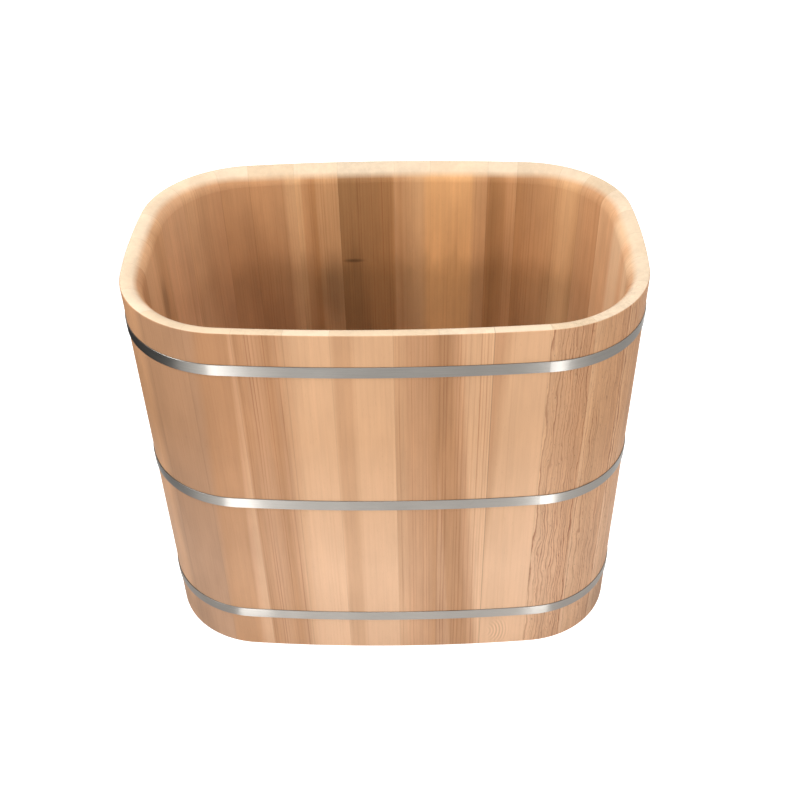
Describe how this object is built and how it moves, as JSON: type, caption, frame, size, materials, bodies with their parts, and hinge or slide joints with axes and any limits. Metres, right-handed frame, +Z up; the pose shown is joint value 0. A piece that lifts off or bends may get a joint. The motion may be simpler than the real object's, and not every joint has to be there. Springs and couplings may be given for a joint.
{
  "type": "japanese soaking tub",
  "caption": "Deep oval wooden soaking tub of upright tongued staves drawn together by flat steel hoops, with a boarded floor and a floor drain with a lift stopper.",
  "frame": {"origin": "on the ground under the middle of the tub, on the underside of the middle bearer", "axes": "+X along the tub's length towards the end with the drain, +Y towards the back, where the hoops' riveted laps are, +Z up"},
  "size_m": [1.0596, 0.7085, 0.875],
  "materials": {
    "stave_wood": "fine sanded, oiled, satin",
    "floor_wood": "fine sanded, oiled, satin",
    "bearer_wood": "planed, matt",
    "hoop_steel": "brushed along the strip",
    "fastener_steel": "plain stainless",
    "drain_chrome": "polished",
    "brass": "machined",
    "rubber": "matt black",
    "fibre": "pressed fibre, matt"
  },
  "bodies": {
    "tub": {"stave_01": "stave_wood", "stave_02": "stave_wood", "stave_03": "stave_wood", "stave_04": "stave_wood", "stave_05": "stave_wood", "stave_06": "stave_wood", "stave_07": "stave_wood", "stave_08": "stave_wood", "stave_09": "stave_wood", "stave_10": "stave_wood", "stave_11": "stave_wood", "stave_12": "stave_wood", "stave_13": "stave_wood", "stave_14": "stave_wood", "stave_15": "stave_wood", "stave_16": "stave_wood", "stave_17": "stave_wood", "stave_18": "stave_wood", "stave_19": "stave_wood", "stave_20": "stave_wood", "stave_21": "stave_wood", "stave_22": "stave_wood", "stave_23": "stave_wood", "stave_24": "stave_wood", "stave_25": "stave_wood", "stave_26": "stave_wood", "stave_27": "stave_wood", "stave_28": "stave_wood", "stave_29": "stave_wood", "stave_30": "stave_wood", "stave_31": "stave_wood", "hoop_top": "hoop_steel", "hoop_middle": "hoop_steel", "hoop_bottom": "hoop_steel", "hoop_rivets": "fastener_steel", "floor_board_1": "floor_wood", "floor_board_2": "floor_wood", "floor_board_3": "floor_wood", "floor_board_4": "floor_wood", "floor_board_5": "floor_wood", "bearer_left": "bearer_wood", "bearer_middle": "bearer_wood", "bearer_right": "bearer_wood", "bearer_screws": "fastener_steel", "drain_body": "drain_chrome", "drain_gasket": "rubber", "drain_washer": "rubber", "drain_fibre_ring": "fibre", "drain_locknut": "brass", "drain_tail_pipe": "drain_chrome", "drain_slip_ring": "rubber", "drain_coupling_nut": "drain_chrome", "stopper_post": "brass"},
    "stopper": {"stopper_cap": "drain_chrome", "stopper_seal": "rubber", "stopper_knob": "drain_chrome"}
  },
  "joints": [
    {"name": "stopper_lift", "type": "slide", "parent": "tub", "child": "stopper", "axis": [0, 0, 1], "range_m": [0, 0.01]}
  ]
}
